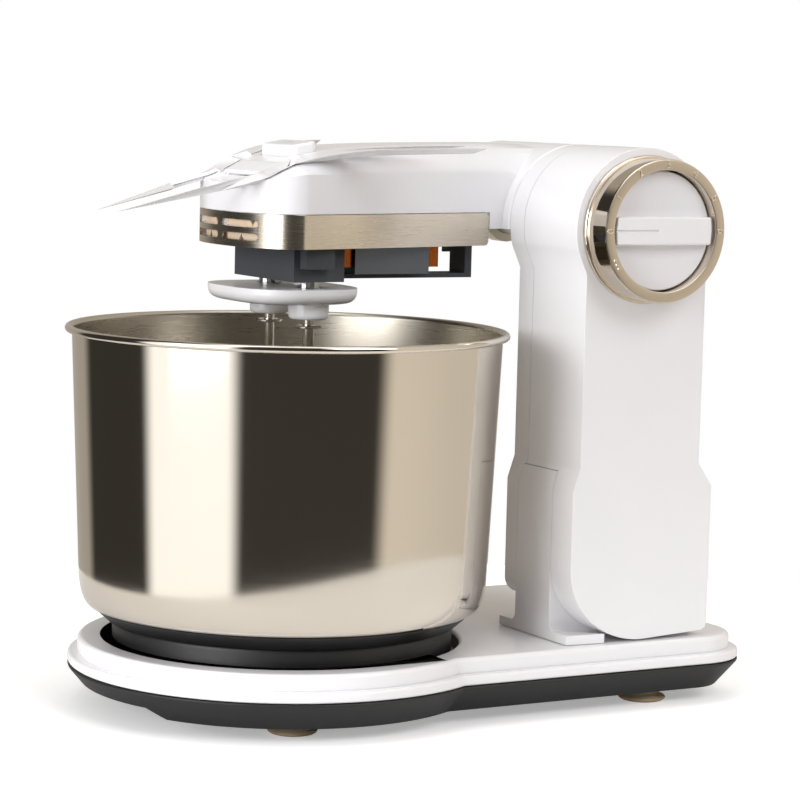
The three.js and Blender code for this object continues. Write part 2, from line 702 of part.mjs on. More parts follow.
// ---- Hinge ----
function hingeAxle() {
  return rodY(AXLE_R, FRAME.near - 6, DRUM.far - 5, HINGE.x, HINGE.z, 24);
}

function hingeBush(y0, y1) {
  const made = sleeve(AXLE_R + GAP / 3, AXLE_R + 4, y0, y1, 0, 0, 24);
  return made.rotateX(-PI / 2).rotateY(PI).translate(HINGE.x, 0, HINGE.z);
}

// ---- Build ----
add("base_lower_shell", baseShell(), BLACK);
add("base_top_cover", baseCover(), WHITE);
for (const [end, x, inward, ceiling] of [
  ["front", FOOT.front, 18, COVER.floor], ["rear", FOOT.rear, -18, COVER.top],
]) {
  for (const [hand, side] of [["near", -1], ["far", 1]]) {
    add(`foot_${end}_${hand}`, baseFoot(x, side * FOOT.side), RUBBER);
    add(`base_screw_${end}_${hand}`, baseScrew(x + inward, side * (FOOT.side + 8), ceiling), STEEL);
  }
}
add("turntable_pin", rodZ(PIVOT_R, SHELL.low + 6 + GAP, TABLE.low + 9), STEEL);
const bearingFloor = COVER.floor + GAP;
add("turntable_bearing", sleeve(BEARING.inner, BEARING.outer, bearingFloor, TABLE.low - GAP), NYLON);
add("turntable", turntable(), BLACK);
add("bowl_foot_ring", bowlFootRing(), BLACK);
add("bowl", bowl(), STEEL);
add("pedestal", pedestal(), WHITE);
add("column_near_shell", columnNearShell(), WHITE);
add("column_far_shell", columnFarShell(), WHITE);
add("column_frame", columnFrame(), ALLOY);
add("column_screw_front", columnScrew(FRAME.front - 4), STEEL);
add("column_screw_rear", columnScrew(FRAME.rear + 5), STEEL);
add("dial_ring", dialRing(), CHROME);
add("speed_knob", speedKnob(), WHITE);
add("knob_shaft", knobShaft(), NYLON);
add("rotary_switch", rotarySwitch(), INNER);
add("hinge_axle", hingeAxle(), STEEL);
add("hinge_bush_near", hingeBush(DRUM.near, DRUM.near + 9), NYLON);
add("hinge_bush_far", hingeBush(DRUM.far - 14, DRUM.far - 5), NYLON);
add("head_upper_shell", headShell("upper"), WHITE);
add("head_lower_shell", headShell("lower"), WHITE);
add("trim_band", trimBand(), BRUSHED);
add("chin_cap", chinCap(), WHITE);
add("gear_housing", gearHousing(), INNER);
add("motor_cradle", motorCradle(), INNER);
add("motor_stator", motorStator(), ALLOY);
add("motor_coil_front", motorCoil("front"), COPPER);
add("motor_coil_rear", motorCoil("rear"), COPPER);
add("carbon_brush_near", carbonBrush(-1), INNER);
add("carbon_brush_far", carbonBrush(1), INNER);
add("motor_shaft", motorShaft(), STEEL);
add("motor_worm", worm(), STEEL);
add("motor_rotor", motorRotor(), COPPER);
add("motor_fan", motorFan(), INNER);
for (const [hand, y, phase] of [["near", -BEATER.gap / 2, 0], ["far", BEATER.gap / 2, PI / 4]]) {
  add(`worm_wheel_${hand}`, wormWheel(y), NYLON);
  add(`spindle_${hand}`, spindle(y), STEEL);
  add(`beater_${hand}`, beater(y, phase), STEEL);
}
add("eject_button", ejectButton(), WHITE);
add("eject_plate", ejectPlate(), NYLON);
add("eject_spring", ejectSpring(), STEEL);

// The origin lies on the table under the middle of the machine.
group.position.x = -(BASE.rear - BEAD.r - BEAD.thick) / 2;
const mixer = new THREE.Group();
mixer.add(group);

export default mixer;
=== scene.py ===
"""Looks of a tilt-head stand mixer with a turning steel bowl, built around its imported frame."""

import json
from math import atan2, cos, pi, radians, sin, sqrt

import bmesh
import bpy
from mathutils import Matrix, Vector


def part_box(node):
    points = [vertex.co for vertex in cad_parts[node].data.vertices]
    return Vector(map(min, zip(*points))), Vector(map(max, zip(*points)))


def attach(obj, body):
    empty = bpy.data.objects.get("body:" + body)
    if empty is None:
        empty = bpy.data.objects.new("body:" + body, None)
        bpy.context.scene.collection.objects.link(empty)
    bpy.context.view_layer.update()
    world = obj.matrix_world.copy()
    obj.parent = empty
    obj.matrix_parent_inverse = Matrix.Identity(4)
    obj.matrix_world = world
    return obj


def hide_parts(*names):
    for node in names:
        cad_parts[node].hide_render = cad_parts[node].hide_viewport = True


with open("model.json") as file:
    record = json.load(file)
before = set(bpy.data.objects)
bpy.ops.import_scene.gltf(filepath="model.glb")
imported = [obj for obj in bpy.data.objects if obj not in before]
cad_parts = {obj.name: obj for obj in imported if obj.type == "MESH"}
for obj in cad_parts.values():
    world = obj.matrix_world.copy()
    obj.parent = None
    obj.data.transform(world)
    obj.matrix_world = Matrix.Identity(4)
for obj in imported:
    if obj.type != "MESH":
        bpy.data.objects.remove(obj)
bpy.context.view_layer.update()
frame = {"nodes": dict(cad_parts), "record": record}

MM = 0.001
BOWL_X = (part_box("bowl")[0].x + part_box("bowl")[1].x) / 2 / MM  # the bowl's axis, mm in the row frame


def at(x, y, z):
    """A point given in millimetres from the bowl's axis, as a place in the row frame in metres."""
    return Vector(((x + BOWL_X) * MM, y * MM, z * MM))


def span(node):
    """A CAD node's corners in millimetres from the bowl's axis."""
    low, high = (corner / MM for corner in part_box(node))
    low.x -= BOWL_X
    high.x -= BOWL_X
    return low, high


# ---- Materials ----

def linear(code):
    """A hex sRGB colour as linear RGBA."""
    parts = [int(code[i:i + 2], 16) / 255 for i in (1, 3, 5)]
    return [c / 12.92 if c <= 0.04045 else ((c + 0.055) / 1.055) ** 2.4 for c in parts] + [1.0]


def node(tree, kind, settings=None, inputs=None, links=None):
    """Adds one node with its settings, its constant inputs and its incoming links."""
    made = tree.nodes.new(kind)
    for key, value in (settings or {}).items():
        setattr(made, key, value)
    for key, value in (inputs or {}).items():
        made.inputs[key].default_value = value
    for key, source in (links or {}).items():
        tree.links.new(source, made.inputs[key])
    return made


def blank(name):
    """A new material with only its shader and output, and the tree that holds them."""
    made = bpy.data.materials.new(name)
    made.use_nodes = True
    return made, made.node_tree, made.node_tree.nodes["Principled BSDF"]


def surface(name, pale, deep, rough, bump_mm, grain_mm, stretch=(1, 1, 1), mottle_mm=40, **sockets):
    """A surface whose colour drifts from pale to deep and whose grain moves its gloss and relief."""
    made, tree, shader = blank(name)
    place = node(tree, "ShaderNodeTexCoord").outputs["Object"]
    drift = node(tree, "ShaderNodeTexNoise", inputs={"Scale": 1 / (mottle_mm * MM), "Detail": 3},
                 links={"Vector": place})
    tint = node(tree, "ShaderNodeMix", {"data_type": "RGBA"}, links={0: drift.outputs["Fac"]})
    tint.inputs[6].default_value = linear(pale)
    tint.inputs[7].default_value = linear(deep)
    tree.links.new(tint.outputs[2], shader.inputs["Base Color"])
    run = node(tree, "ShaderNodeMapping", inputs={"Scale": [s / (grain_mm * MM) for s in stretch]},
               links={"Vector": place})
    grain = node(tree, "ShaderNodeTexNoise", inputs={"Scale": 1.0, "Detail": 4, "Roughness": 0.6},
                 links={"Vector": run.outputs[0]})
    gloss = node(tree, "ShaderNodeMapRange", inputs={"To Min": rough[0], "To Max": rough[1]},
                 links={"Value": grain.outputs["Fac"]})
    tree.links.new(gloss.outputs[0], shader.inputs["Roughness"])
    if bump_mm:
        relief = node(tree, "ShaderNodeBump", inputs={"Strength": 1.0, "Distance": bump_mm * MM},
                      links={"Height": grain.outputs["Fac"]})
        tree.links.new(relief.outputs[0], shader.inputs["Normal"])
    for key, value in sockets.items():
        shader.inputs[key.replace("_", " ")].default_value = value
    return made


# Glossy injection-moulded ABS: bright cool white, with a faint ripple that softens its highlights.
WHITE = surface("abs_glossy_white", "#f3f2f4", "#eeedf0", (0.2, 0.27), 0.004, 9, IOR=1.54)
# Satin black ABS, spark-eroded mould: dark grey with a fine tooth that spreads every highlight.
BLACK = surface("abs_satin_black", "#0e0e0f", "#0a0a0b", (0.42, 0.56), 0.02, 0.8, IOR=1.54)
# Clear-amber thermoplastic rubber feet: cloudy beige that lets light into its edges.
RUBBER = surface("rubber_amber_feet", "#b9a88c", "#a08d70", (0.5, 0.66), 0.03, 1.2, mottle_mm=6,
                 Subsurface_Weight=0.35, Subsurface_Scale=0.004, IOR=1.5)
# Polished 18/8 stainless sheet: warm mirror with the faint hoops left by the buffing wheel.
POLISHED = surface("stainless_polished_sheet", "#dcd5ca", "#d3cbbe", (0.05, 0.09), 0, 0.9,
                   stretch=(0.04, 0.04, 1), mottle_mm=90, Metallic=1.0)
# Stainless sheet scotch-brited inside: hoop scratches that turn reflections into soft bands.
BRUSHED = surface("stainless_brushed_inside", "#c9c3b8", "#b9b2a6", (0.2, 0.38), 0.004, 0.8,
                  stretch=(0.04, 0.04, 1), mottle_mm=60, Metallic=1.0)
# Brushed steel strip: hairlines along its length, warm grey, silky highlights.
BAND = surface("stainless_brushed_strip", "#cfc6b8", "#bfb5a6", (0.18, 0.34), 0.004, 0.6,
               stretch=(0.03, 0.03, 1), mottle_mm=50, Metallic=1.0)
# Bright-drawn stainless wire and rod: smooth, with drawing lines along the shaft.
ROD = surface("stainless_drawn_rod", "#d5d1ca", "#c6c1b8", (0.12, 0.2), 0.002, 1.5,
              stretch=(1, 1, 0.05), Metallic=1.0)
# Champagne satin plating on the scale's face: bead blasted, so it glows without a reflection.
CHAMPAGNE = surface("plating_champagne_satin", "#d6c9b6", "#cabda9", (0.3, 0.42), 0.008, 0.5,
                    Metallic=1.0)
# Bright nickel-chrome plating on the ring's side: a warm hard mirror.
CHROME = surface("plating_bright_chrome", "#dcd2c4", "#d4cabb", (0.04, 0.07), 0, 3, Metallic=1.0)
# Tan phenolic inside the nose: matt, seen only through the slots.
TAN = surface("phenolic_tan_baffle", "#dfcbb5", "#d0b99f", (0.55, 0.7), 0.02, 1.5, mottle_mm=8)
# Grey moulded nylon blend of hidden parts: matt with a soft bloom.
INNER = surface("abs_grey_inner", "#43464b", "#383b40", (0.5, 0.65), 0.02, 1.5)
# Self-coloured cast nylon of gears and key: waxy cream.
NYLON = surface("nylon_cream_moulded", "#ebe4d0", "#ddd5bf", (0.4, 0.52), 0.01, 2, IOR=1.53)
# Die-cast zinc alloy: dull silver with the orange-peel skin of the die.
ALLOY = surface("zinc_alloy_cast", "#a7a9ac", "#8f9296", (0.4, 0.55), 0.03, 1.6, Metallic=1.0)
# Zinc-plated fasteners and shafts: plain bright steel with light turning marks.
PLAIN = surface("steel_zinc_plated", "#b9b8b6", "#a5a4a3", (0.25, 0.38), 0.004, 1.2, Metallic=1.0)
# Stacked electrical steel: blue-grey sheets with fine lines between them.
CORE = surface("steel_electrical_stack", "#7d8288", "#666b72", (0.35, 0.5), 0.02, 0.5,
               stretch=(1, 0.1, 0.1), Metallic=1.0)
# Enamelled copper wire: dark orange, glossy, in tight turns.
COPPER = surface("copper_enamelled_wire", "#b5652c", "#8f4a1d", (0.22, 0.34), 0.05, 0.6,
                 stretch=(1, 0.2, 0.2), Metallic=1.0)
# Off-white silk-printed ink on the key.
INK = surface("ink_pale_grey", "#c9c8cb", "#bfbec2", (0.4, 0.5), 0, 1)

SLOT_LOOKS = {
    "white_plastic": WHITE, "black_plastic": BLACK, "foot_rubber": RUBBER, "polished_steel": POLISHED,
    "beater_steel": ROD, "band_steel": BAND, "dial_chrome": CHAMPAGNE, "plain_steel": PLAIN,
    "cast_alloy": ALLOY, "core_steel": CORE, "copper_winding": COPPER, "nylon": NYLON,
    "inner_plastic": INNER,
}
for part in frame["record"]["subparts"]:
    piece = frame["nodes"][part["node"]]
    if not piece.material_slots:
        piece.data.materials.append(None)
    for holder in piece.material_slots:
        holder.material = SLOT_LOOKS[part["material_slot"]]


# ---- Modelling helpers ----

bpy.context.scene.tool_settings.mesh_select_mode = (True, False, False)


def only(piece):
    """Leaves object mode's selection on one piece."""
    if bpy.context.mode != "OBJECT":
        bpy.ops.object.mode_set(mode="OBJECT")
    bpy.ops.object.select_all(action="DESELECT")
    if piece:
        bpy.context.view_layer.objects.active = piece
        piece.select_set(True)


def edit(piece, mode="VERT"):
    """Opens a piece in edit mode with nothing selected."""
    only(piece)
    bpy.ops.object.mode_set(mode="EDIT")
    bpy.ops.mesh.select_mode(type=mode)
    bpy.ops.mesh.select_all(action="DESELECT")


def pick(piece, kind, test):
    """Selects the faces, edges or vertices of a piece in edit mode that pass a test."""
    shape = bmesh.from_edit_mesh(piece.data)
    for item in getattr(shape, kind):
        if test(item):
            item.select_set(True)
    shape.select_flush_mode()
    bmesh.update_edit_mesh(piece.data)


def tidy(piece):
    """Merges doubles and turns every face outwards."""
    only(piece)
    bpy.ops.object.mode_set(mode="EDIT")
    bpy.ops.mesh.select_all(action="SELECT")
    bpy.ops.mesh.remove_doubles(threshold=2e-6)
    bpy.ops.mesh.normals_make_consistent(inside=False)
    only(piece)


def wire(name, points, closed=False):
    """A chain of vertices, drawn by extruding one point of a primitive along the places given."""
    only(None)
    bpy.ops.mesh.primitive_plane_add(size=MM, location=points[0])
    piece = bpy.context.object
    piece.name = piece.data.name = name
    bpy.ops.object.transform_apply(location=True, rotation=True, scale=True)
    bpy.ops.object.mode_set(mode="EDIT")
    bpy.ops.mesh.select_mode(type="VERT")
    bpy.ops.mesh.select_all(action="SELECT")
    bpy.ops.mesh.merge(type="CENTER")
    path = points + points[:1] if closed else points
    for here, there in zip(path, path[1:]):
        bpy.ops.mesh.extrude_vertices_move(TRANSFORM_OT_translate={"value": there - here})
    bpy.ops.mesh.select_all(action="SELECT")
    if closed:
        bpy.ops.mesh.remove_doubles(threshold=2e-6)
    return piece


def prism(name, outline, axis, low, high):
    """An outline in millimetres pushed straight along an axis."""
    put = {"X": lambda p, d: at(d, *p), "Y": lambda p, d: at(p[0], d, p[1]),
           "Z": lambda p, d: at(*p, d)}[axis]
    piece = wire(name, [put(p, low) for p in outline], closed=True)
    bpy.ops.mesh.edge_face_add()
    push = put(outline[0], high) - put(outline[0], low)
    bpy.ops.mesh.extrude_region_move(TRANSFORM_OT_translate={"value": push})
    tidy(piece)
    return piece


def spun(name, profile, x, y, axis="Z", steps=96):
    """A turned piece: its profile is (radius, place along the axis) in millimetres."""
    if axis == "Z":
        points, centre, way = [at(x + r, y, d) for r, d in profile], at(x, y, 0), (0, 0, 1)
    elif axis == "Y":
        points, centre, way = [at(x + r, d, y) for r, d in profile], at(x, 0, y), (0, 1, 0)
    else:
        points, centre, way = [at(d, x + r, y) for r, d in profile], at(0, x, y), (1, 0, 0)
    piece = wire(name, points)
    bpy.ops.mesh.spin(steps=steps, angle=2 * pi, center=centre, axis=way)
    tidy(piece)
    return piece


def carve(piece, cutter, how="DIFFERENCE", solver="EXACT"):
    """Cuts, joins or keeps the overlap with another piece, which is used up."""
    only(piece)
    step = piece.modifiers.new("carve", "BOOLEAN")
    step.object, step.operation, step.solver = cutter, how, solver
    bpy.ops.object.modifier_apply(modifier=step.name)
    bpy.data.objects.remove(cutter)
    return piece


def rounded(piece, width, segments=3, angle=35, weighted=False, clamp=True):
    """Rounds the edges sharper than an angle, or those that carry a weight."""
    only(piece)
    step = piece.modifiers.new("edge", "BEVEL")
    step.width, step.segments = width * MM, segments
    step.limit_method, step.angle_limit = ("WEIGHT" if weighted else "ANGLE"), radians(angle)
    step.use_clamp_overlap = clamp
    bpy.ops.object.modifier_apply(modifier=step.name)
    return piece


def walled(piece, thick, even=True):
    """Gives an open skin a wall on its inner side."""
    only(piece)
    step = piece.modifiers.new("wall", "SOLIDIFY")
    step.thickness, step.offset, step.use_even_offset = thick * MM, -1, even
    bpy.ops.object.modifier_apply(modifier=step.name)
    return piece


def sliced(piece, place, normal, fill=True):
    """Takes away what lies beyond a plane."""
    edit(piece)
    bpy.ops.mesh.select_all(action="SELECT")
    bpy.ops.mesh.bisect(plane_co=place, plane_no=normal, use_fill=fill, clear_outer=True)
    only(piece)
    return piece


def smoothed(piece, angle=32):
    only(piece)
    bpy.ops.object.shade_smooth_by_angle(angle=radians(angle))
    step = piece.modifiers.new("flats", "WEIGHTED_NORMAL")
    step.keep_sharp = True
    bpy.ops.object.modifier_apply(modifier=step.name)
    return piece


def joined(piece, *others):
    only(piece)
    for other in others:
        other.select_set(True)
    bpy.ops.object.join()
    return piece


def copied(piece, name, move):
    """A copy with a mesh of its own, moved by millimetres."""
    only(piece)
    bpy.ops.object.duplicate(linked=False)
    made = bpy.context.object
    made.name = made.data.name = name
    bpy.ops.transform.translate(value=Vector(move) * MM)
    bpy.ops.object.transform_apply(location=True, rotation=True, scale=True)
    return made


def shown(piece, body, look, nodes=(), second=None, where=None):
    """Gives a piece its finish, its body and the CAD nodes it stands for."""
    piece.data.materials.clear()
    piece.data.materials.append(look)
    if second:
        piece.data.materials.append(second)
        for face in piece.data.polygons:
            face.material_index = 1 if where(face) else 0
    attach(piece, body)
    if nodes:
        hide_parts(*nodes)
    return piece


def arc(x, y, r, start, stop, steps):
    return [(x + r * cos(start + (stop - start) * i / steps),
             y + r * sin(start + (stop - start) * i / steps))
            for i in range(steps + 1)]


# ---- Base ----

BASE_R, BASE_HALF, BASE_REAR, BASE_CORNER = 96.5, 84, 207, 28


def base_plan(inset):
    r, half, rear, corner = (v - inset for v in (BASE_R, BASE_HALF, BASE_REAR, BASE_CORNER))
    meet = atan2(half, sqrt(r * r - half * half))
    return (arc(rear - corner, corner - half, corner, -pi / 2, 0, 14)
            + arc(rear - corner, half - corner, corner, 0, pi / 2, 14)
            + arc(0, 0, r, meet, 2 * pi - meet, 110))


def base_cover():
    low, high = span("base_top_cover")
    rib = low.z + 4.5
    deck = prism("deck", base_plan(4.3), "Z", rib - 1, high.z)
    carve(deck, prism("recess", arc(0, 0, 79.9, 0, 2 * pi * 95 / 96, 95), "Z", 22.5, high.z + 2))
    rounded(deck, 2.2, 5, 50)
    skirt = rounded(prism("base_skirt", base_plan(0), "Z", low.z, rib), 1.3, 4, 50)
    carve(skirt, prism("room", arc(0, 0, 79.9, 0, 2 * pi * 95 / 96, 95), "Z", 22.5, high.z + 2))
    piece = smoothed(joined(deck, skirt))
    piece.name = piece.data.name = "base_cover_moulding"
    return shown(piece, "base", WHITE, ["base_top_cover"])


def base_tray():
    low, high = span("base_lower_shell")
    tray = prism("base_tray", base_plan(0), "Z", high.z - 1, high.z)
    edit(tray, "FACE")
    pick(tray, "faces", lambda f: f.normal.z < -0.9)
    bpy.ops.mesh.inset(thickness=10 * MM, depth=(high.z - 1 - low.z) * MM)
    only(tray)
    side = [(-60, 0), (60, 0), (41, 6), (35, 10.6), (-35, 10.6), (-41, 6)]
    notch = prism("notch", side, "X", -110, -60)
    carve(tray, notch)
    rounded(tray, 1.0, 3, 40)
    return shown(smoothed(tray), "base", BLACK, ["base_lower_shell"])


def base_feet():
    names = [f"foot_{x}_{y}" for x in ("front", "rear") for y in ("near", "far")]
    low, high = span(names[0])
    x0, y0 = (low.x + high.x) / 2, (low.y + high.y) / 2
    profile = [(0, low.z), (8.8, low.z), (9.8, low.z + 0.3), (10.7, low.z + 0.9), (11, low.z + 1.5),
               (10.5, low.z + 2.2), (8.6, low.z + 3), (7.4, low.z + 4), (7, high.z), (0, high.z)]
    first = smoothed(spun("foot_moulding_front_near", profile, x0, y0, steps=48), 50)
    feet = [first]
    for name in names[1:]:
        a, b = span(name)
        feet.append(copied(first, name.replace("foot_", "foot_moulding_"),
                           ((a.x + b.x) / 2 - x0, (a.y + b.y) / 2 - y0, 0)))
    for piece, name in zip(feet, names):
        shown(piece, "base", RUBBER, [name])


base_cover()
base_tray()
base_feet()


# ---- Bowl and turntable ----

def bowl():
    low, high = span("bowl")
    bead_r, bead_z, thick, wall = 98, 168.9, 1.6, 0.9
    corner = [(86.9 + 5.2 * sin(t * pi / 24), low.z + 16 * (1 - cos(t * pi / 24))) for t in range(1, 13)]
    inner = [(r - wall, z + wall * 0.6) for r, z in reversed(corner)]
    bead = arc(bead_r, bead_z, thick, -2.5, 2.7, 20)
    profile = ([(0, low.z), (60, low.z), (84, low.z), (86.9, low.z + 0.2)] + corner
               + [(96.4, bead_z - 2)] + bead + [(96.5 - wall, bead_z - 0.4)] + inner
               + [(84, low.z + wall), (60, low.z + wall), (0, low.z + wall)])
    piece = smoothed(spun("bowl_sheet", profile, 0, 0, steps=160), 50)

    def inside(face):
        middle = face.center - at(0, 0, 0)
        return face.normal.x * middle.x + face.normal.y * middle.y < -1e-5 or (
            face.normal.z > 0.5 and middle.z / MM < 60)
    return shown(piece, "bowl_turntable", POLISHED, ["bowl"], BRUSHED, inside)


def bowl_ring():
    low, high = span("bowl_foot_ring")
    profile = [(70, low.z), (79, low.z), (79.6, low.z + 0.4), (85.2, high.z - 1), (85.5, high.z - 0.4),
               (85.2, high.z), (70, high.z), (70, low.z)]
    piece = smoothed(spun("bowl_foot_moulding", profile, 0, 0, steps=128))
    return shown(piece, "bowl_turntable", BLACK, ["bowl_foot_ring"])


def turntable():
    low, high = span("turntable")
    profile = [(4.4, low.z), (75, low.z), (76.2, low.z + 0.6), (76.7, low.z + 1.6), (76.7, high.z - 1.6),
               (76.2, high.z - 0.4), (75.2, high.z), (66, high.z), (64.8, high.z - 1), (64.7, low.z + 8),
               (12, low.z + 8), (10, low.z + 9), (10, high.z - 4), (4.4, high.z - 4), (4.4, low.z)]
    piece = smoothed(spun("turntable_moulding", profile, 0, 0, steps=128))
    return shown(piece, "bowl_turntable", BLACK, ["turntable"])


bowl()
bowl_ring()
turntable()


# ---- Column ----

HINGE_X, HINGE_Z, HINGE_R = 140, 218, 36.5
FRONT, REAR = 109.5, 174
SKIRT_FRONT, SKIRT_REAR, SKIRT_LOW, SKIRT_HIGH = 106, 181.4, 100.5, 111
POST_NEAR, POST_FAR, POST_TOP = -58, -29, 108


def column_outline(bottom, across, up):
    toe = [(SKIRT_FRONT + across * (1 - cos(pi / 2 * i / 16)), bottom + up * (1 - sin(pi / 2 * i / 16)))
           for i in range(17)]
    return (arc(HINGE_X, HINGE_Z, HINGE_R, -0.36, pi + 0.28, 56)
            + [(FRONT, HINGE_Z - 0.55 * HINGE_R), (FRONT, SKIRT_HIGH), (SKIRT_FRONT, SKIRT_LOW)] + toe
            + [(SKIRT_REAR - 3, bottom + 2), (SKIRT_REAR - 0.6, bottom + 3.2), (SKIRT_REAR, bottom + 6),
               (SKIRT_REAR, SKIRT_LOW), (REAR, SKIRT_HIGH), (REAR, HINGE_Z - 0.5 * HINGE_R)])


def column_shell(name, outer_y, seam_y, toe, wide, fine):
    """A half of the column: its outer face is rounded widely round the barrel, finely elsewhere."""
    piece = prism(name, column_outline(*toe), "Y", outer_y, seam_y)
    edit(piece, "EDGE")

    def outer(edge):
        return all(abs(v.co.y / MM - outer_y) < 0.05 for v in edge.verts)

    def round_the_barrel(edge):
        middle = (edge.verts[0].co + edge.verts[1].co) / 2 / MM
        return outer(edge) and (middle.z - HINGE_Z) > -HINGE_R * 0.3

    pick(piece, "edges", outer)
    bpy.ops.transform.edge_bevelweight(value=fine / wide)
    bpy.ops.mesh.select_all(action="DESELECT")
    pick(piece, "edges", round_the_barrel)
    bpy.ops.transform.edge_bevelweight(value=1 - fine / wide)
    rounded(piece, wide, 7, weighted=True)
    edit(piece, "FACE")
    pick(piece, "faces", lambda f: all(abs(v.co.y / MM - seam_y) < 0.02 for v in f.verts))
    bpy.ops.mesh.delete(type="FACE")
    only(piece)
    return walled(piece, 2.5)


def column():
    low, high = span("column_near_shell")
    near = column_shell("column_near_moulding", low.y, high.y, (low.z, 39, 34), 6.5, 2.6)
    carve(near, prism("post_room", [(60, 0), (240, 0), (240, POST_TOP + 0.3), (60, POST_TOP + 0.3)],
                      "Y", POST_NEAR - 0.3, high.y + 3))
    carve(near, prism("shaft_room", arc(HINGE_X, HINGE_Z, 6, 0, 2 * pi * 31 / 32, 31), "Y", -80, -70))
    shown(smoothed(near), "base", WHITE, ["column_near_shell"])
    low, high = span("column_far_shell")
    far = column_shell("column_far_moulding", high.y, low.y, (low.z, 8, 8), 1.4, 1.4)
    carve(far, prism("post_room", [(60, 0), (240, 0), (240, POST_TOP + 0.3), (60, POST_TOP + 0.3)],
                     "Y", low.y - 3, POST_FAR + 0.3))
    carve(far, prism("axle_room", arc(HINGE_X, HINGE_Z, 8.3, 0, 2 * pi * 31 / 32, 31), "Y", -40, -10))
    shown(smoothed(far), "base", WHITE, ["column_far_shell"])


def pedestal():
    low, high = span("pedestal")
    side = [(SKIRT_FRONT, low.z), (SKIRT_FRONT, SKIRT_LOW), (SKIRT_FRONT + 2.5, high.z),
            (SKIRT_REAR - 5.3, high.z), (SKIRT_REAR, SKIRT_LOW), (SKIRT_REAR, low.z)]
    piece = prism("pedestal_moulding", side, "Y", POST_NEAR, POST_FAR)
    plan = [(SKIRT_FRONT, -73), (SKIRT_FRONT + 19.5, -74.5), (SKIRT_FRONT + 19.5, POST_NEAR),
            (SKIRT_REAR, POST_NEAR), (SKIRT_REAR, high.y), (SKIRT_FRONT, high.y)]
    carve(piece, prism("pedestal_foot", plan, "Z", low.z, low.z + 4.2), "UNION")
    edit(piece, "EDGE")

    def corner(edge):
        return all(abs(v.co.z / MM - low.z - 4.2) < 0.05 and min(
            abs(v.co.y / MM - POST_NEAR), abs(v.co.y / MM - POST_FAR)) < 0.05 for v in edge.verts)
    pick(piece, "edges", corner)
    bpy.ops.mesh.bevel(offset=2.5 * MM, segments=5)
    rounded(piece, 0.7, 3, 50)
    smoothed(piece)
    shown(piece, "base", WHITE, ["pedestal"])


column()
pedestal()


# ---- Speed dial ----

def dial():
    low, high = span("dial_ring")
    back, face = high.y, low.y
    profile = [(27, back), (27, face + 0.7), (27.2, face + 0.25), (27.7, face), (31.2, face),
               (31.8, face + 0.3), (32, face + 0.9), (32, back - 2.4), (32.3, back - 1.9),
               (33, back - 1.7), (33.2, back - 1.4), (33.2, back), (27, back)]
    ring = smoothed(spun("dial_scale_ring", profile, HINGE_X, HINGE_Z, "Y", 128))

    def side(face_):
        return face_.normal.y > -0.8
    shown(ring, "base", CHAMPAGNE, ["dial_ring"], CHROME, side)
    marks = []
    for i, sign in enumerate("0123456"):
        turn = radians(180 - 30 * i)
        marks.append(lettered(sign, "dial_mark_" + sign, 5.0, face, turn))
    dot = radians(210)
    for k in range(3):
        turn = dot + radians(4) * (k - 1)
        bead = [(0, face - 0.4), (0.55, face - 0.3), (0.75, face), (0, face + 0.1)]
        marks.append(spun("pulse_bead_%d" % k, bead, HINGE_X + 29.4 * cos(turn),
                          HINGE_Z + 29.4 * sin(turn), "Y", 16))
    piece = joined(*marks)
    piece.name = piece.data.name = "dial_raised_marks"
    shown(smoothed(piece), "base", CHROME)


def lettered(sign, name, size, face, turn):
    """A raised number on the ring's face, its foot towards the middle."""
    only(None)
    bpy.ops.object.text_add(location=(0, 0, 0))
    piece = bpy.context.object
    piece.data.body, piece.data.size = sign, size * MM
    piece.data.align_x, piece.data.align_y = "CENTER", "CENTER"
    piece.data.extrude, piece.data.resolution_u = 0.3 * MM, 6
    bpy.ops.object.convert(target="MESH")
    piece = bpy.context.object
    place = at(HINGE_X + 29.4 * cos(turn), face, HINGE_Z + 29.4 * sin(turn))
    tilt = Matrix.Rotation(pi / 2 - turn, 4, "Y")
    piece.matrix_world = Matrix.Translation(place) @ tilt @ Matrix.Rotation(pi / 2, 4, "X")
    bpy.ops.object.transform_apply(location=True, rotation=True, scale=True)
    piece.name = piece.data.name = name
    return piece


def knob():
    low, high = span("speed_knob")
    r, rim = 26.6, low.y + 1.5
    dish = 4
    profile = [(0, high.y), (r, high.y), (r, rim + 3.4), (r - 0.2, rim + 2.9), (r - 0.7, rim + 2.6),
               (r - 3, rim + 2.8), (r * 0.7, rim + 3.5), (r * 0.4, rim + dish + 0.2), (0, rim + dish + 0.6)]
    disc = spun("knob_disc", profile, HINGE_X, HINGE_Z, "Y", 112)
    half, long_ = 6.2, r - 1.6
    bulge = [(HINGE_X - long_, HINGE_Z - half), (HINGE_X + long_, HINGE_Z - half),
             (HINGE_X + long_ + 0.5, HINGE_Z), (HINGE_X + long_, HINGE_Z + half),
             (HINGE_X - long_, HINGE_Z + half), (HINGE_X - long_ - 0.5, HINGE_Z)]
    bar = rounded(prism("knob_bar", bulge, "Y", low.y, rim + dish + 2), 1.0, 4, 20)
    groove = [(HINGE_X - long_ - 3, HINGE_Z - 0.6), (HINGE_X - 3, HINGE_Z - 0.6), (HINGE_X - 2.6, HINGE_Z),
              (HINGE_X - 3, HINGE_Z + 0.6), (HINGE_X - long_ - 3, HINGE_Z + 0.6)]
    carve(bar, prism("pointer", groove, "Y", low.y - 2, low.y + 0.6))
    piece = smoothed(joined(disc, bar))
    piece.name = piece.data.name = "speed_knob_moulding"
    shown(piece, "dial", WHITE, ["speed_knob"])


dial()
knob()


# ---- Head ----

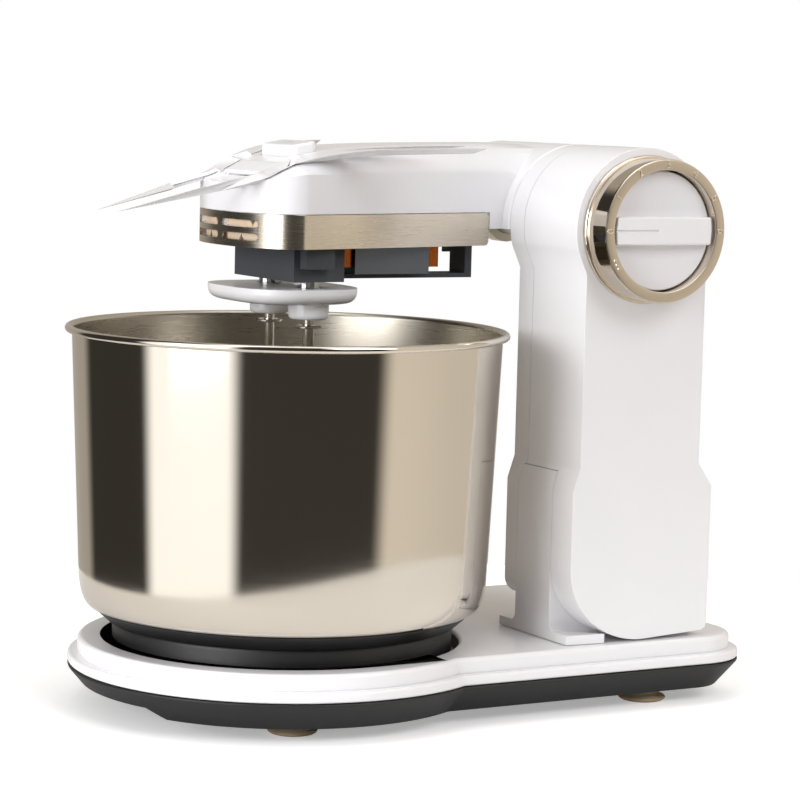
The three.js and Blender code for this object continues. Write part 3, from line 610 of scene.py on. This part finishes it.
NOSE, CHEEK, HALF, NECK_NEAR, NECK_FAR = -35.2, -13.5, 43, -12, 50
BOTTOM, SEAM, SHOULDER = 189.7, 215, 240
DRUM_NEAR, DRUM_FAR = -17.6, 57
CROWN_RISE = 14.3    # the insets of head_solid rise this far above the shoulder
HEAD_EDGE_ROUND = 6.2
HEAD_WALL = 2.2
BAND_HALF, BAND_REAR = 7.5, span("trim_band")[1].x


def head_plan(inset, blunt=0.85, steps=40):
    points = []
    for i in range(steps + 1):
        turn = pi / 2 + pi * i / steps
        c, s = cos(turn), sin(turn)
        points.append((CHEEK - abs(c) ** blunt * (CHEEK - NOSE - inset),
                       (1 if s > 0 else -1) * abs(s) ** blunt * (HALF - inset)))
    return points + [(HINGE_X - HINGE_R, NECK_NEAR + inset), (HINGE_X, NECK_NEAR + inset),
                     (HINGE_X, NECK_FAR - inset), (HINGE_X - HINGE_R, NECK_FAR - inset)]


def head_solid():
    """Walls up to a crease, a wide crowned shoulder, a top that falls away over the nose."""
    body = prism("head_body", head_plan(0), "Z", BOTTOM, SHOULDER)
    edit(body, "FACE")
    pick(body, "faces", lambda f: f.normal.z > 0.9)
    for inset, rise in ((1.6, 3.4), (2.4, 3.4), (3.2, 3.0), (4.0, 2.3), (4.6, 1.5), (5.0, 0.7)):
        bpy.ops.mesh.inset(thickness=inset * MM, depth=rise * MM)
    only(body)
    # Loops across the head. Each row of points is then squeezed to lie between the crease's
    # height and the falling line of the top.
    edit(body)
    for x in (-31, -27, -23, -19, -15, -11, -7, -3, 2, 8, 15, 24, 36, 50, 70):
        bpy.ops.mesh.select_all(action="SELECT")
        bpy.ops.mesh.bisect(plane_co=at(x, 0, 0), plane_no=(1, 0, 0))
    fall = [(NOSE - 1, 235.6), (-33, 236.4), (-27.3, 239), (-22.8, 241.3), (-14.7, 244.8), (-6, 247.5),
            (5, 249.8), (16, 251.2), (34, 252.2), (50, 252.8), (96, 253.9), (300, 254.2)]
    crease = [(NOSE - 1, 235.2), (-30, 237), (-22, 238.8), (-14, 240), (300, 240)]

    def level(table, x):
        for (x0, z0), (x1, z1) in zip(table, table[1:]):
            if x <= x1:
                return z0 + (z1 - z0) * (x - x0) / (x1 - x0)

    def row(vertex):
        return round((vertex.co.x / MM - BOWL_X) * 2) / 2
    rows = sorted({row(v) for v in bmesh.from_edit_mesh(body.data).verts if v.co.z / MM > SHOULDER - 0.05})
    for x in rows:
        bpy.ops.mesh.select_all(action="DESELECT")
        pick(body, "verts", lambda v: v.co.z / MM > SHOULDER - 0.05 and row(v) == x)
        low, high = level(crease, x), max(level(fall, x), level(crease, x) + 1)
        bpy.ops.transform.resize(value=(1, 1, (high - low) / CROWN_RISE), center_override=at(x, 0, SHOULDER))
        bpy.ops.transform.translate(value=(0, 0, (low - SHOULDER) * MM))
    edit(body, "EDGE")

    def lower_edge(edge):
        return all(v.co.z / MM < BOTTOM + 0.05 for v in edge.verts)

    pick(body, "edges", lower_edge)
    bpy.ops.transform.edge_bevelweight(value=1)
    rounded(body, HEAD_EDGE_ROUND, 7, weighted=True, clamp=False)
    # Flat triangles, since the squeezed faces are no longer flat and upset the cuts below.
    edit(body)
    bpy.ops.mesh.select_all(action="SELECT")
    bpy.ops.mesh.quads_convert_to_tris()
    only(body)
    end = arc(HINGE_R - 8, DRUM_FAR - 8, 8, 0, pi / 2, 8)
    drum = spun("drum", [(0, DRUM_NEAR), (HINGE_R - 0.6, DRUM_NEAR), (HINGE_R, DRUM_NEAR + 0.6)] + end
                + [(0, DRUM_FAR)], HINGE_X, HINGE_Z, "Y", 128)
    carve(body, drum, "UNION")
    # A ledge sunk behind the nose, with a thin slot along the foot of its step.
    step_x, step_z, reach, fall_away, clear = -24, 237.9, 26, 6.2, 12
    scoop = prism("scoop", [(step_x - reach, step_z - fall_away), (step_x, step_z),
                            (step_x, step_z + clear), (step_x - reach, step_z + clear)], "Y", -20, 20)
    carve(body, rounded(scoop, 2.2, 5, 60), solver="FAST")
    slit = [(step_x - 1, step_z), (step_x + 3, step_z), (step_x + 3, step_z + 0.9),
            (step_x - 1, step_z + 0.9)]
    carve(body, prism("slit", slit, "Y", -17, 13.5), solver="FAST")
    carve(body, prism("slit", slit, "Y", 15, 17), solver="FAST")
    ledge = prism("band_room", head_plan(-6), "Z", SEAM - BAND_HALF - 0.3, SEAM + BAND_HALF + 0.3)
    carve(ledge, prism("band_floor", head_plan(1.1), "Z", SEAM - 20, SEAM + 20))
    carve(ledge, prism("band_end", [(-90, -90), (BAND_REAR + 0.3, -90), (BAND_REAR + 0.3, 90), (-90, 90)],
                       "Z", SEAM - 30, SEAM + 30), "INTERSECT")
    return carve(body, ledge)


def vent_slots(piece):
    inner, outer, pitch, tall = 2, 29, 5.7, 3
    for row in (-pitch / 2, pitch / 2):
        for side in (-1, 1):
            z, r = SEAM + row, tall / 2
            ends = sorted((side * inner, side * outer))
            slot = (arc(ends[1] - r, z, r, -pi / 2, pi / 2, 10)
                    + arc(ends[0] + r, z, r, pi / 2, 3 * pi / 2, 10))
            carve(piece, prism("slot", slot, "X", NOSE - 6, CHEEK + 6))
    return piece


def head():
    whole = head_solid()
    lower = copied(whole, "head_lower_moulding", (0, 0, 0))
    upper = whole
    upper.name = upper.data.name = "head_upper_moulding"
    sliced(upper, at(0, 0, SEAM + 0.15), (0, 0, -1), fill=False)
    sliced(lower, at(0, 0, SEAM - 0.15), (0, 0, 1), fill=False)
    for piece, nodes in ((upper, ["head_upper_shell"]), (lower, ["head_lower_shell"])):
        walled(piece, HEAD_WALL, even=False)
        vent_slots(piece)
        carve(piece, prism("bush_room", arc(HINGE_X, HINGE_Z, 12.3, 0, 2 * pi * 47 / 48, 47), "Y", -30, 53))
    low, high = span("eject_button")
    room = prism("key_room", [(low.x - 0.4, low.y - 0.4), (high.x + 0.4, low.y - 0.4),
                              (high.x + 0.4, high.y + 0.4), (low.x - 0.4, high.y + 0.4)], "Z", 230, 262)
    edit(room, "EDGE")
    pick(room, "edges", lambda e: abs(e.verts[0].co.z - e.verts[1].co.z) > 5 * MM)
    bpy.ops.mesh.bevel(offset=3.4 * MM, segments=7)
    carve(upper, room)
    for y in (-19, 19):
        carve(lower, prism("spindle_room", arc(0, y, 7, 0, 2 * pi * 31 / 32, 31), "Z", 185, 199))
    shown(smoothed(upper), "head", WHITE, ["head_upper_shell"])
    shown(smoothed(lower), "head", WHITE, ["head_lower_shell"])


def band():
    """A strip of brushed steel round the nose, with four slots punched through it."""
    low, high = span("trim_band")
    strip = prism("trim_band_strip", head_plan(0.05), "Z", low.z, high.z)
    carve(strip, prism("band_core", head_plan(0.95), "Z", low.z - 5, high.z + 5))
    ends = rounded(prism("band_end", [(-90, low.z), (BAND_REAR, low.z), (BAND_REAR, high.z), (-90, high.z)],
                         "Y", -90, 90), 2.2, 5)
    carve(strip, ends, "INTERSECT")
    vent_slots(strip)
    rounded(strip, 0.22, 2, 40)
    shown(smoothed(strip), "head", BAND, ["trim_band"])


def baffle():
    """The pale tan guard behind the slots, with small notches that show the dark inside."""
    low, high = SEAM - 6.8, SEAM + 6.8
    guard = prism("vent_baffle", head_plan(3.2), "Z", low, high)
    carve(guard, prism("guard_core", head_plan(4.8), "Z", low - 5, high + 5))
    carve(guard, rounded(prism("guard_end", [(-90, -90), (-16, -90), (-16, 90), (-90, 90)], "Z",
                               low - 5, high + 5), 1, 2), "INTERSECT")
    for y, row, way in ((-22, 2.9, 1), (-14, -2.9, -1), (9, 2.9, 1), (17, -2.9, -1)):
        z = SEAM + row
        notch = [(y - 2, z + 2 * way), (y, z - 1.2 * way), (y + 2, z + 2 * way)]
        carve(guard, prism("notch", notch, "X", -60, 0))
    shown(smoothed(guard), "head", TAN)


def chin():
    low, high = span("chin_cap")
    bottom, top = 182.5, high.z
    front, rear, half = NOSE + 2, 26, 36
    middle = (front + rear) / 2

    def plan(inset):
        points = []
        for i in range(72):
            c, s = cos(2 * pi * i / 72), sin(2 * pi * i / 72)
            points.append((middle + (1 if c > 0 else -1) * abs(c) ** 0.7 * (rear - middle - inset),
                           (1 if s > 0 else -1) * abs(s) ** 0.7 * (half - inset)))
        return points
    cap = prism("chin_cap_moulding", plan(0.6), "Z", top - 2.2, top)
    edit(cap, "FACE")
    pick(cap, "faces", lambda f: f.normal.z < -0.9)
    for inset, drop in ((0.3, 1.4), (0.7, 1.3), (1.2, 1.0), (1.6, 0.65), (2.2, 0.35)):
        bpy.ops.mesh.inset(thickness=inset * MM, depth=drop * MM)
    only(cap)
    pieces = [cap]
    for y in (-19, 19):
        profile = [(5.3, low.z), (7.2, low.z), (8.2, low.z + 0.4), (8.8, low.z + 1.2), (9, low.z + 2.4),
                   (9, bottom + 1.2), (9.8, bottom + 0.6), (9.8, bottom + 2), (5.3, bottom + 2), (5.3, low.z)]
        pieces.append(spun("socket", profile, 0, y, steps=48))
        carve(cap, prism("socket_room", arc(0, y, 6, 0, 2 * pi * 31 / 32, 31), "Z", 175, 195))
    piece = smoothed(joined(*pieces))
    piece.name = piece.data.name = "chin_cap_moulding"
    shown(piece, "head", WHITE, ["chin_cap"])


def release_key():
    """A long key across the head whose top follows the falling line of the nose."""
    low, high = span("eject_button")
    fall, front, rear = 2.2, low.x, high.x
    key = prism("release_key_moulding",
                [(front, low.z), (rear, low.z), (rear, high.z), (front, high.z - fall)],
                "Y", low.y, high.y)
    edit(key, "EDGE")

    def upright(edge):
        return abs(edge.verts[0].co.z - edge.verts[1].co.z) > 5 * MM
    pick(key, "edges", upright)
    bpy.ops.mesh.bevel(offset=3 * MM, segments=7)
    rounded(key, 1.3, 4, 50)
    shown(smoothed(key), "eject_key", WHITE, ["eject_button"])
    middle = (front + rear) / 2
    roof, lean = at(middle, 0, high.z - fall / 2 + 0.08), Vector((-fall, 0, rear - front)).normalized()
    bar = prism("key_sign_bar",
                [(middle - 2.6, -3), (middle - 1.8, -3), (middle - 1.8, 3), (middle - 2.6, 3)],
                "Z", high.z - 3, high.z + 3)
    sign = joined(prism("release_key_sign", [(middle - 1, -3), (middle + 2.6, 0), (middle - 1, 3)], "Z",
                        high.z - 3, high.z + 3), bar)
    sliced(sign, roof, lean)
    shown(smoothed(sign), "eject_key", INK)


head()
band()
baffle()
chin()
release_key()


# ---- Beaters ----

def beater(hand, y, phase):
    """Two crossing loops of round wire under a drawn rod with a collar."""
    r, low, high, tip = 21.8, 55, 128, 197
    outline = [(0.6, high), (0.45 * r, high - 5), (0.86 * r, high - 20), (r, high - 38),
               (0.93 * r, low + 12), (0.55 * r, low + 2.5), (0, low + 1.2)]
    corners = outline + [(-x, z) for x, z in reversed(outline[:-1])]
    fine = []
    for i in range(len(corners) - 1):
        a, b, c, d = (corners[max(0, min(len(corners) - 1, i + k))] for k in (-1, 0, 1, 2))
        for t in (0, 0.2, 0.4, 0.6, 0.8):
            fine.append(tuple(0.5 * (2 * q + (s - p) * t + (2 * p - 5 * q + 4 * s - u) * t * t
                                     + (3 * q - p - 3 * s + u) * t ** 3)
                              for p, q, s, u in zip(a, b, c, d)))
    fine.append(corners[-1])
    pieces = []
    for turn in (phase, phase + pi / 2):
        loop = wire("loop", [at(x * cos(turn), y + x * sin(turn), z) for x, z in fine])
        only(loop)
        bpy.ops.object.convert(target="CURVE")
        loop = bpy.context.object
        loop.data.bevel_depth, loop.data.bevel_resolution = 1.2 * MM, 4
        loop.data.use_fill_caps = True
        bpy.ops.object.convert(target="MESH")
        pieces.append(bpy.context.object)
    collar = 172.8
    profile = [(0, high - 3), (3.4, high - 3), (4, high - 2.2), (4, high + 2.4), (3.6, high + 3.4),
               (2.6, high + 4.6), (2.5, high + 6), (2.5, tip - 1), (1.6, tip), (0, tip)]
    pieces.append(spun("rod", profile, 0, y, steps=32))
    disc = [(2.4, collar - 1.3), (5.6, collar - 1.3), (6, collar - 1), (6, collar - 0.3), (5.6, collar),
            (2.4, collar), (2.4, collar - 1.3)]
    wings = spun("collar", disc, 0, y, steps=64)
    across = (5.2 * sin(phase + 0.6), -5.2 * cos(phase + 0.6))
    for way in (-1, 1):
        hole = arc(way * across[0], y + way * across[1], 2.2, 0, 2 * pi * 23 / 24, 23)
        carve(wings, prism("collar_bite", hole, "Z", collar - 4, collar + 3))
    pieces.append(wings)
    piece = smoothed(joined(*reversed(pieces)), 40)
    piece.name = piece.data.name = "beater_wires_" + hand
    shown(piece, hand + "_drive", ROD, ["beater_" + hand])


beater("near", -19, 0)
beater("far", 19, pi / 4)


# ---- Studio ----

def studio():
    scene = bpy.context.scene
    scene.view_settings.view_transform = "Standard"
    only(None)
    bpy.ops.mesh.primitive_circle_add(vertices=96, radius=0.38, fill_type="NGON", location=(0, 0, 0))
    floor = bpy.context.object
    floor.name = "studio_floor"
    look, tree, shader = blank("paper_white_floor")
    shader.inputs["Base Color"].default_value = linear("#fbfbfb")
    shader.inputs["Roughness"].default_value = 0.9
    # Only the camera sees the paper lit from behind, so that it runs into the white background.
    seen = node(tree, "ShaderNodeLightPath").outputs["Is Camera Ray"]
    glow = node(tree, "ShaderNodeMath", {"operation": "MULTIPLY"}, {1: 0.35}, {0: seen})
    shader.inputs["Emission Color"].default_value = (1, 1, 1, 1)
    tree.links.new(glow.outputs[0], shader.inputs["Emission Strength"])
    floor.data.materials.append(look)
    # The room: warm white all round, with dark gaps between the soft boxes for the steel to show.
    world = bpy.data.worlds.new("studio_room")
    scene.world = world
    world.use_nodes = True
    tree = world.node_tree
    tree.nodes.clear()
    way = node(tree, "ShaderNodeTexCoord").outputs["Generated"]
    split = node(tree, "ShaderNodeSeparateXYZ", links={0: way})
    turn = node(tree, "ShaderNodeMath", {"operation": "ARCTAN2"},
                links={0: split.outputs["Y"], 1: split.outputs["X"]})
    share = node(tree, "ShaderNodeMapRange", inputs={"From Min": -pi, "From Max": pi},
                 links={"Value": turn.outputs[0]})
    ramp = node(tree, "ShaderNodeValToRGB", links={0: share.outputs[0]})
    camera_turn = atan2(CAMERA_PLACE.y, CAMERA_PLACE.x)
    stops = [(-158, 0.3), (-138, 0.3), (-126, 0.03), (-82, 0.03), (-72, 1), (-30, 1), (-20, 0.035),
             (50, 0.035), (62, 0.58), (120, 0.5), (158, 0.35)]
    bands = ramp.color_ramp
    bands.interpolation = "EASE"
    places = sorted(((((camera_turn + radians(a)) + pi) / (2 * pi)) % 1, v) for a, v in stops)
    while len(bands.elements) < len(places):
        bands.elements.new(0.5)
    for stop, (where, value) in zip(bands.elements, places):
        stop.position = where
        stop.color = [c * value for c in linear("#ffffff" if value == 1 else "#fff6e8")[:3]] + [1]
    room = node(tree, "ShaderNodeBackground", inputs={"Strength": 1.5}, links={"Color": ramp.outputs[0]})
    paper = node(tree, "ShaderNodeBackground", inputs={"Color": (1, 1, 1, 1), "Strength": 1.0})
    path = node(tree, "ShaderNodeLightPath")
    both = node(tree, "ShaderNodeMixShader", links={0: path.outputs["Is Camera Ray"], 1: room.outputs[0],
                                                    2: paper.outputs[0]})
    node(tree, "ShaderNodeOutputWorld", links={"Surface": both.outputs[0]})
    lamp("soft_box_left", (-1.8, -0.5, 0.4), 1.1, 22, "#ffffff")
    lamp("soft_box_top", (-0.1, -0.2, 1.9), 1.4, 7, "#ffffff")
    lamp("soft_box_front", (0.4, -1.6, 1.4), 1.1, 15, "#fafaff")


def lamp(name, place, size, power, colour):
    light = bpy.data.lights.new(name, "AREA")
    light.shape, light.size, light.energy = "SQUARE", size, power
    light.color = linear(colour)[:3]
    holder = bpy.data.objects.new(name, light)
    bpy.context.scene.collection.objects.link(holder)
    holder.location = place
    holder.rotation_euler = (Vector((0, 0, 0.12)) - Vector(place)).to_track_quat("-Z", "Y").to_euler()


CAMERA_PLACE = Vector((-0.6456, -1.1435, 0.2743))
CAMERA_TARGET = Vector((0.0048, 0, 0.1358))


def camera():
    made = bpy.data.cameras.new("camera")
    made.sensor_width, made.lens = 36, 129.54
    holder = bpy.data.objects.new("camera", made)
    bpy.context.scene.collection.objects.link(holder)
    aim = (CAMERA_TARGET - CAMERA_PLACE).to_track_quat("-Z", "Y").to_matrix().to_4x4()
    holder.matrix_world = Matrix.Translation(CAMERA_PLACE) @ aim @ Matrix.Rotation(radians(1.462), 4, "Z")
    bpy.context.scene.camera = holder


camera()
studio()

only(None)
